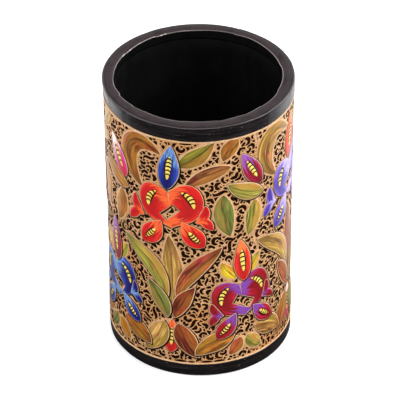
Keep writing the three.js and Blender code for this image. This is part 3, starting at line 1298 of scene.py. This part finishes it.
def turned(name, section, paint, uneven=0.1, dark_from=None):
    """A ring turned from a closed section that runs anticlockwise, outside up and inside down.
    Section points are (radius, height, out, up) in mm: out and up say how much of the hand-made
    unevenness moves the point outwards and upwards. From point dark_from on, the surface has
    the well's dull black."""
    shell = Shell()
    section = np.array(section, float)
    angle = np.linspace(0, 2 * math.pi, TURNED_STEPS, endpoint=False)[:, None]
    out = unevenness(angle, 1.7) * uneven
    up = unevenness(angle, 0.6) * uneven
    height = section[None, :, 1] + up * section[None, :, 3]
    press = pressed_in(angle, section[None, :, 1]) * (section[None, :, 0] > 30.5)
    radius = section[None, :, 0] + out * section[None, :, 2] - press
    points = np.stack([radius * np.sin(angle), -radius * np.cos(angle), height], axis=-1) * MM
    planned = np.broadcast_to(section[:, :2], points.shape[:2] + (2,))
    first = shell.add_points(points, planned)
    count = len(section)
    for j in range(count):
        k = (j + 1) % count
        starts = [(first + i * count, first + (i + 1) % TURNED_STEPS * count)
                  for i in range(TURNED_STEPS)]
        faces = [(here + j, there + j, there + k, here + k) for here, there in starts]
        dark = dark_from is not None and j >= dark_from
        shell.add_faces(faces, "well" if dark else paint, True)
    return shell.make(name)


def unevenness(angle, phase):
    """A waver round the cup, between about -1 and 1: slow waves, and straight stretches with
    small corners between them, as a knife leaves."""
    waves = (2, 3, 5, 8, 13)
    slow = sum(np.sin(k * angle + phase * k * k) * (2 / k) ** 0.6 for k in waves) / 3
    corners = np.sort(np.random.default_rng(int(phase * 100)).uniform(0, 2 * math.pi, 30))
    heights = np.sin(np.arange(30) * 2.4 + phase)
    return slow * 0.7 + np.interp(angle, corners, heights, period=2 * math.pi) * 0.6


def arc_section(centre_r, centre_z, size, start, end, out, up, steps):
    """Section points on a circular arc, angles in degrees from the outward direction."""
    angles = np.radians(np.linspace(start, end, steps + 1))
    return [(centre_r + size * math.cos(a), centre_z + size * math.sin(a), out, up) for a in angles]


def rim():
    """The black lip: a side band, a narrow crease, a nearly flat top and a mouth edge that was
    cut by hand."""
    low, high = RIM_LOW.z, RIM_HIGH.z
    outer, inner = RIM_HIGH.x, LINING_HIGH.x - LINING
    leg = outer - RIM_LEG
    section = [(leg, low + 0.02, 0.0, 0.5)]
    section += arc_section(outer - 0.3, low + 0.3, 0.3, -90, 0, 0.6, 0.5, 4)
    section += [(outer, low + z, 0.6, 0.0) for z in (1.0, 1.8, 2.6, 3.4, 4.1)]
    section += arc_section(outer - 0.3, high - 0.46, 0.3, 8, 80, 0.6, 0.3, 5)
    section += [(outer - 0.3 - 1.7 * t, high - 0.14 + 0.14 * math.sin(t * math.pi / 2), 0.5, 0.5)
                for t in np.linspace(0.15, 1, 6)]
    section += [(outer - 2.2 - 1.5 * t, high - 0.1 * t * t, -1.1 * t, 0.5)
                for t in np.linspace(0.2, 1, 6)]
    section += arc_section(inner + 0.2, high - 0.32, 0.2, 80, 160, -2.2, 0.3, 4)
    dark_from = len(section) - 1
    section += [(inner - 0.02, z, -1.9 * (z - high + LIP_DEPTH) / 2.8, 0.0)
                for z in np.linspace(high - 0.7, high - LIP_DEPTH, 6)]
    section += [(inner + LINING, high - LIP_DEPTH, 0, 0), (inner + LINING, high - RIM_CAP, 0, 0)]
    section += [(leg, high - RIM_CAP, 0, 0), (leg, high - 2.5, 0, 0)]
    piece = turned("rim_lip", section, "lip", 0.2, dark_from)
    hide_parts("rim_band")


def foot():
    """The black band round the foot, with a rounded lower edge."""
    low, high = FOOT_LOW.z, FOOT_HIGH.z
    outer = FOOT_HIGH.x
    inner = outer - FOOT_THICKNESS
    section = [(inner, low, 0, 0)]
    section += arc_section(outer - 0.9, low + 0.9, 0.9, -90, 0, 0.3, 0, 7)
    section += [(outer, z, 0.3, 0) for z in np.linspace(low + 1.4, high - 0.3, 5)]
    section += [(outer - 0.15, high - 0.04, 0.3, 0), (inner, high, 0, 0)]
    piece = turned("foot_ring", section, "lacquer", 0.14)
    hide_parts("foot_band")


def well():
    """The black coat on the wall and on the floor of the well, one skin with a soft corner."""
    low, high = LINING_LOW.z, LINING_HIGH.z
    outer = LINING_HIGH.x
    inner = outer - LINING
    section = [(0.02, low, 0, 0), (outer, low, 0, 0), (outer, high, 0, 0)]
    section += [(inner + 0.1, high, 0, 0)]
    section += [(inner, z, 0.8, 0) for z in np.linspace(high - 0.1, low + 2.6, 22)]
    section += arc_section(inner - 1.6, low + 2.1, 1.6, 0, -90, 0.5, 0, 5)
    section += [(r, low + 0.5, 0, 0.6) for r in np.linspace(inner - 3.0, 3.0, 7)]
    section += [(0.02, low + 0.5, 0, 0)]
    piece = turned("well_coat", section, "well", 0.1)
    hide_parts("well_lining", "floor_lining")


def border(name, low, high, lift):
    """A painted gold line with hand-made edges that closes the decoration."""
    radius = float(wall_radius((low + high) / 2))
    section = [(radius - 0.2, low, 0, 0), (radius + lift * 0.5, low, 0.2, 0.4)]
    section += [(radius + lift, low * (1 - t) + high * t, 0.2, 0.4 - 0.8 * t)
                for t in (0.2, 0.5, 0.8)]
    section += [(radius + lift * 0.5, high, 0.2, -0.4), (radius - 0.2, high, 0, 0)]
    turned(name, section, "outline", 0.25)


def painted_wall():
    """The gold ground, and every leaf, bud and flower on it."""
    strokes, gaps = compose()
    sheets = [ground_panel(k, gaps) for k in range(SECTORS)]
    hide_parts("painted_sleeve")
    groups = {}
    for stroke in strokes:
        name = stroke.piece
        if not name.startswith("iris"):
            part = int((stroke.middle()[:, 0].mean() + TURN / 2) / TURN * 4) % 4
            name = f"{name}_{part + 1}"
        groups.setdefault(name, []).append(stroke)
    for name in sorted(groups):
        shell = Shell()
        for stroke in groups[name]:
            add_stroke(shell, stroke)
        shell.make(name, True)


def repaint(node, paint):
    """Gives a CAD piece that stays in sight its material."""
    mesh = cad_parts[node].data
    mesh.materials.clear()
    mesh.materials.append(material(paint))


# ---------------------------------------------------------------- studio, light and camera

# Half the floor's side in metres, the light it gives off for the camera, and the strengths of
# the world as soft light and as a background.
FLOOR_HALF = 6.0
FLOOR_GLOW = 0.35
SOFT_LIGHT = 0.8
BACKDROP = 1.05

# The point that the camera and the lights aim at, and the camera's distance from it, in metres.
LOOK_AT = Vector((0.00022, 0.0, 0.05145))
DISTANCE = 1.184
ELEVATION = math.radians(35.1)
ROLL = math.radians(0.486)
LENS = 314.7


def floor_look():
    """A pale floor. The camera sees it bright, so that it runs into the white background, and
    the lacquer sees it dim, as through a polarising filter."""
    nodes = Nodes(bpy.data.materials.new("studio_floor"))
    path = nodes.add("ShaderNodeLightPath").outputs
    cloud = nodes.noise(nodes.place(), 6.0, 2.0)
    pale = nodes.mix(cloud, (0.9, 0.9, 0.9, 1), (0.93, 0.93, 0.93, 1))
    behind = nodes.sharpen(nodes.split(nodes.place())[1], -0.02, 0.07)
    mirrored_floor = nodes.mix(behind, (0.03, 0.03, 0.03, 1), (0.9, 0.9, 0.9, 1))
    looks = {"Base Color": nodes.mix(path["Is Glossy Ray"], pale, mirrored_floor), "Roughness": 1.0,
             "Specular IOR Level": 0.0, "Emission Color": (1, 1, 1, 1),
             "Emission Strength": nodes.times(path["Is Camera Ray"], FLOOR_GLOW)}
    for key, value in looks.items():
        nodes.join(value, nodes.surface.inputs[key])
    return nodes.owner


def studio_floor():
    """One large square face, a little below the cup."""
    mesh = bpy.data.meshes.new("studio_floor")
    corners = [(-1, -1), (1, -1), (1, 1), (-1, 1)]
    points = [(x * FLOOR_HALF, y * FLOOR_HALF, -0.0001) for x, y in corners]
    mesh.from_pydata(points, [], [(0, 1, 2, 3)])
    mesh.materials.append(floor_look())
    new_object("studio_floor", mesh)


def studio_world():
    """White all round for the camera and for soft light. In reflections it is dim, with a pale
    band near the horizon at the back."""
    world = bpy.data.worlds.new("studio")
    nodes = Nodes(world)
    path = nodes.add("ShaderNodeLightPath").outputs
    x, y, z = nodes.split(nodes.add("ShaderNodeTexCoord").outputs["Generated"])[:3]
    lowered = nodes.times_plus(nodes.math("ABSOLUTE", x), -0.7, z)
    band = nodes.sharpen(lowered, 0.1, 0.42, 1.0, 0.06)
    mirrored_sky = nodes.times(band, nodes.sharpen(y, -0.2, 0.4, 0.05, 1.0))
    strength = SOFT_LIGHT
    for ray, value in (("Is Glossy Ray", mirrored_sky), ("Is Camera Ray", BACKDROP)):
        mixed = nodes.add("ShaderNodeMix", {"Factor": path[ray], "A": strength, "B": value})
        strength = mixed.outputs["Result"]
    nodes.join((1, 1, 1, 1), nodes.surface.inputs["Color"])
    nodes.join(strength, nodes.surface.inputs["Strength"])
    bpy.context.scene.world = world


def softbox(name, place, size, watts):
    """A square soft light aimed at the cup."""
    data = bpy.data.lights.new(name, "AREA")
    data.size = size
    data.energy = watts
    data.specular_factor = 0.25
    lamp = new_object(name, data)
    lamp.location = place
    aim = (LOOK_AT - Vector(place)).to_track_quat("-Z", "Y")
    lamp.rotation_euler = aim.to_euler()


def photo_camera():
    """The camera, above and in front of the cup, with a slight roll."""
    data = bpy.data.cameras.new("photo_camera")
    data.lens = LENS
    data.sensor_width = 36.0
    camera = new_object("photo_camera", data)
    away = Vector((0, -math.cos(ELEVATION), math.sin(ELEVATION)))
    camera.location = LOOK_AT + away * DISTANCE
    aim = (-away).to_track_quat("-Z", "Y")
    camera.rotation_euler = (aim @ Quaternion((0, 0, 1), -ROLL)).to_euler()
    bpy.context.scene.camera = camera


def studio():
    studio_floor()
    studio_world()
    softbox("left_softbox", (-0.9, -0.25, 0.75), 0.5, 4.2)
    softbox("right_softbox", (0.9, -0.25, 0.75), 0.5, 9.6)
    softbox("front_softbox", (-0.3, -1.0, 1.1), 0.7, 1.8)
    softbox("back_softbox", (0.75, 0.75, 0.8), 0.5, 6.4)
    bpy.context.scene.view_settings.view_transform = "Standard"


painted_wall()
rim()
foot()
well()
border("rim_line", WALL_TOP - BORDER, WALL_TOP + 0.08, 0.22)
border("foot_line", WALL_BOTTOM - 0.05, WALL_BOTTOM + BORDER, 0.2)
repaint("base_disc", "lacquer")
repaint("wall_tube", "paper")
photo_camera()
studio()
